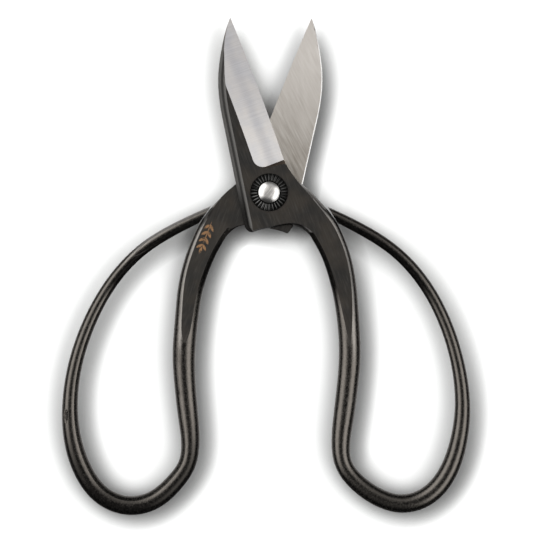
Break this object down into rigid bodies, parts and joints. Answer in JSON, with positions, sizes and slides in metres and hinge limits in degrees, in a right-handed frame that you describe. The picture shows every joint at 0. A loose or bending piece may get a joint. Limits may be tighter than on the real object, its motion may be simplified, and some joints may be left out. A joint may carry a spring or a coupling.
{
  "type": "floral snips",
  "caption": "Forged floral snips: two crossed halves, each a short ground blade, a shank and a big open handle loop, held by a domed rivet over a fluted washer.",
  "frame": {"origin": "on the pivot axis, at the flat of the rear rivet head that the snips rest on", "axes": "+Z along the pivot axis towards the front half, +Y towards the blade tips along the line that halves the opening, +X to the right seen from the front"},
  "size_m": [0.1397, 0.1706, 0.0114],
  "materials": {
    "blackened_steel": "forged steel with a satin black oxide skin, ground bright on the bevel and the inner face of each blade",
    "black_washer": "glossy black oxide",
    "polished_steel": "polished bare steel"
  },
  "bodies": {
    "rear_body": {"rear_half": "blackened_steel", "pivot_rivet": "polished_steel", "front_washer": "black_washer", "rear_washer": "black_washer"},
    "front_body": {"front_half": "blackened_steel"}
  },
  "joints": [
    {"name": "pivot_hinge", "type": "hinge", "parent": "rear_body", "child": "front_body", "pos_m": [0, 0, 0.00555], "axis": [0, 0, 1], "range_deg": [-28.4, 57]}
  ]
}
